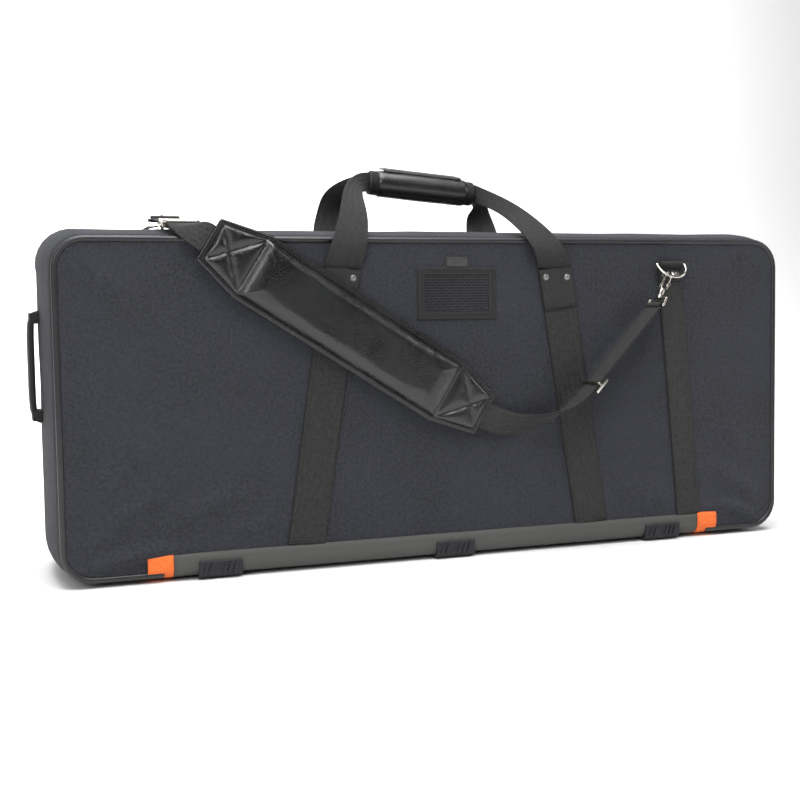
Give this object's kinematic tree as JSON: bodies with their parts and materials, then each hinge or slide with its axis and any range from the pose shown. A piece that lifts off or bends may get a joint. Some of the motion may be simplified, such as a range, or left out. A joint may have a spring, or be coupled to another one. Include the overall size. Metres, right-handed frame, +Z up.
{
  "type": "telescope carry case",
  "caption": "Long padded soft carry case with a zipped back panel, leather-wrapped carry handle, padded shoulder strap on D-rings, name pocket, wear panel and feet.",
  "frame": {"origin": "on the floor, under the middle of the case, on the underside of the middle foot", "axes": "+X runs along the case, -Y is the outward normal of the face with the handle webbing and the name pocket, +Z is up"},
  "size_m": [1.063, 0.2822, 0.5367],
  "materials": {
    "shell_fabric": "coated twill, matte with a faint sheen",
    "foam": "closed-cell foam, matte",
    "lining": "soft tricot, matte",
    "piping": "smooth vinyl, satin",
    "wear_vinyl": "smooth coated cloth, satin",
    "orange_webbing": "flat webbing, satin",
    "foot_plastic": "moulded, satin",
    "zip_tape": "coil and woven tape, satin",
    "webbing": "ribbed webbing, matte",
    "leather": "glossy grained leather",
    "binding": "grosgrain binding, matte",
    "mesh": "open diamond mesh, matte",
    "grey_webbing": "flat webbing, matte",
    "nickel": "polished nickel plate",
    "zip_metal": "dark nickel, satin"
  },
  "bodies": {
    "case": {"front_panel": "shell_fabric", "front_foam": "foam", "body_lining": "lining", "main_gusset": "shell_fabric", "top_foam": "foam", "bottom_foam": "foam", "end_foams": "foam", "corner_foams": "foam", "front_piping": "piping", "wear_panel": "wear_vinyl", "orange_bands": "orange_webbing", "runner_feet": "foot_plastic", "foot_screws": "nickel", "hinge_roll": "shell_fabric", "zip_chain_body": "zip_tape", "handle_webbing_left": "webbing", "handle_webbing_right": "webbing", "rear_handle_webbings": "webbing", "rivets": "nickel", "front_strap_left": "webbing", "front_strap_right": "webbing", "rear_strap_left": "webbing", "rear_strap_right": "webbing", "ring_webbing": "webbing", "front_ring_loop": "webbing", "rear_ring_loop": "webbing", "pocket_frame": "binding", "pocket_mesh": "mesh", "side_handle_strap": "webbing", "side_handle_ends": "webbing"},
    "lid": {"lid_panel": "shell_fabric", "lid_foam": "foam", "lid_lining": "lining", "lid_gusset": "shell_fabric", "lid_piping": "piping", "zip_chain_lid": "zip_tape"},
    "zip_slider_left": {"zip_slider_left": "zip_metal"},
    "zip_slider_right": {"zip_slider_right": "zip_metal"},
    "zip_pull_left": {"zip_pull_left": "zip_metal"},
    "zip_pull_right": {"zip_pull_right": "zip_metal"},
    "grip": {"grip_core": "webbing", "grip_wrap": "leather"},
    "flap": {"grip_flap": "leather"},
    "shoulder_strap": {"pad_back": "leather", "pad_foam": "foam", "pad_cover": "leather", "strap_upper": "webbing", "strap_lower": "webbing", "strap_eyes": "nickel"},
    "ring_front": {"front_d_ring": "nickel"},
    "ring_rear": {"rear_d_ring": "nickel"},
    "snap_front": {"hook_front": "nickel"},
    "snap_rear": {"hook_rear": "nickel"},
    "gate_front": {"hook_gate_front": "nickel"},
    "gate_rear": {"hook_gate_rear": "nickel"},
    "tri_slider_lower": {"slider_lower": "nickel"},
    "tri_slider_upper": {"slider_upper": "nickel"},
    "card_tab": {"pocket_tab": "grey_webbing"},
    "cradle_left": {"cradle_left": "foam"},
    "cradle_right": {"cradle_right": "foam"}
  },
  "joints": [
    {"name": "lid_hinge", "type": "hinge", "parent": "case", "child": "lid", "pos_m": [0, 0.112, 0.0115], "axis": [-1, 0, 0], "range_deg": [0, 90]},
    {"name": "zip_left_run", "type": "slide", "parent": "case", "child": "zip_slider_left", "axis": [-1, 0, 0], "range_m": [0, 0.455]},
    {"name": "zip_right_run", "type": "slide", "parent": "case", "child": "zip_slider_right", "axis": [1, 0, 0], "range_m": [0, 0.455]},
    {"name": "zip_pull_left_turn", "type": "hinge", "parent": "zip_slider_left", "child": "zip_pull_left", "pos_m": [-0.008, 0.0915, 0.435], "axis": [0, 1, 0], "range_deg": [0, 85]},
    {"name": "zip_pull_right_turn", "type": "hinge", "parent": "zip_slider_right", "child": "zip_pull_right", "pos_m": [0.008, 0.0915, 0.435], "axis": [0, -1, 0], "range_deg": [0, 85]},
    {"name": "grip_lift", "type": "slide", "parent": "case", "child": "grip", "axis": [0, 0, 1], "range_m": [-0.035, 0.008], "deforming": ["front_strap_left", "front_strap_right", "rear_strap_left", "rear_strap_right"]},
    {"name": "flap_open", "type": "hinge", "parent": "grip", "child": "flap", "pos_m": [0.00153, -0.01523, 0.52355], "axis": [0.9962, 0, -0.0872], "range_deg": [0, 140]},
    {"name": "strap_swing", "type": "hinge", "parent": "case", "child": "shoulder_strap", "pos_m": [0.333, -0.1216, 0.394], "axis": [-0.9644, 0.2555, 0.0688], "range_deg": [0, 90]},
    {"name": "ring_front_turn", "type": "hinge", "parent": "case", "child": "ring_front", "pos_m": [0.333, -0.1216, 0.394], "axis": [-1, 0, 0], "range_deg": [0, 104]},
    {"name": "ring_rear_turn", "type": "hinge", "parent": "case", "child": "ring_rear", "pos_m": [-0.36, 0.062, 0.44343], "axis": [-1, 0, 0], "range_deg": [0, 92]},
    {"name": "snap_front_swivel", "type": "hinge", "parent": "shoulder_strap", "child": "snap_front", "pos_m": [0.30581, -0.13806, 0.35091], "axis": [0.4822, 0.1045, 0.8698], "range_deg": [-12, 12]},
    {"name": "snap_rear_swivel", "type": "hinge", "parent": "shoulder_strap", "child": "snap_rear", "pos_m": [-0.36, 0.00892, 0.45686], "axis": [0, 0.9945, -0.1045], "range_deg": [-12, 12]},
    {"name": "gate_front_press", "type": "hinge", "parent": "snap_front", "child": "gate_front", "pos_m": [0.31228, -0.14545, 0.36259], "axis": [-0.8746, 0, 0.4848], "range_deg": [0, 22], "stiffness_Nm_per_rad": 0.02, "springref_deg": -11.46},
    {"name": "gate_rear_press", "type": "hinge", "parent": "snap_rear", "child": "gate_rear", "pos_m": [-0.36, 0.02227, 0.46426], "axis": [-1, 0, 0], "range_deg": [0, 22], "stiffness_Nm_per_rad": 0.02, "springref_deg": -11.46},
    {"name": "slider_lower_run", "type": "slide", "parent": "shoulder_strap", "child": "tri_slider_lower", "axis": [0.6879, 0.0236, 0.7254], "range_m": [0, 0.1]},
    {"name": "slider_upper_run", "type": "slide", "parent": "shoulder_strap", "child": "tri_slider_upper", "axis": [-0.0799, 0.9861, 0.1454], "range_m": [0, 0.045]},
    {"name": "tab_fold", "type": "hinge", "parent": "case", "child": "card_tab", "pos_m": [0.008, -0.1173, 0.3913], "axis": [1, 0, 0], "range_deg": [0, 150]},
    {"name": "cradle_left_run", "type": "slide", "parent": "case", "child": "cradle_left", "axis": [1, 0, 0], "range_m": [-0.09, 0.09]},
    {"name": "cradle_right_run", "type": "slide", "parent": "case", "child": "cradle_right", "axis": [1, 0, 0], "range_m": [-0.09, 0.09]}
  ],
  "couplings": [
    {"joint": "ring_front_turn", "follows": "strap_swing", "ratio": 1.1113},
    {"joint": "ring_rear_turn", "follows": "strap_swing", "ratio": 0.9645}
  ]
}
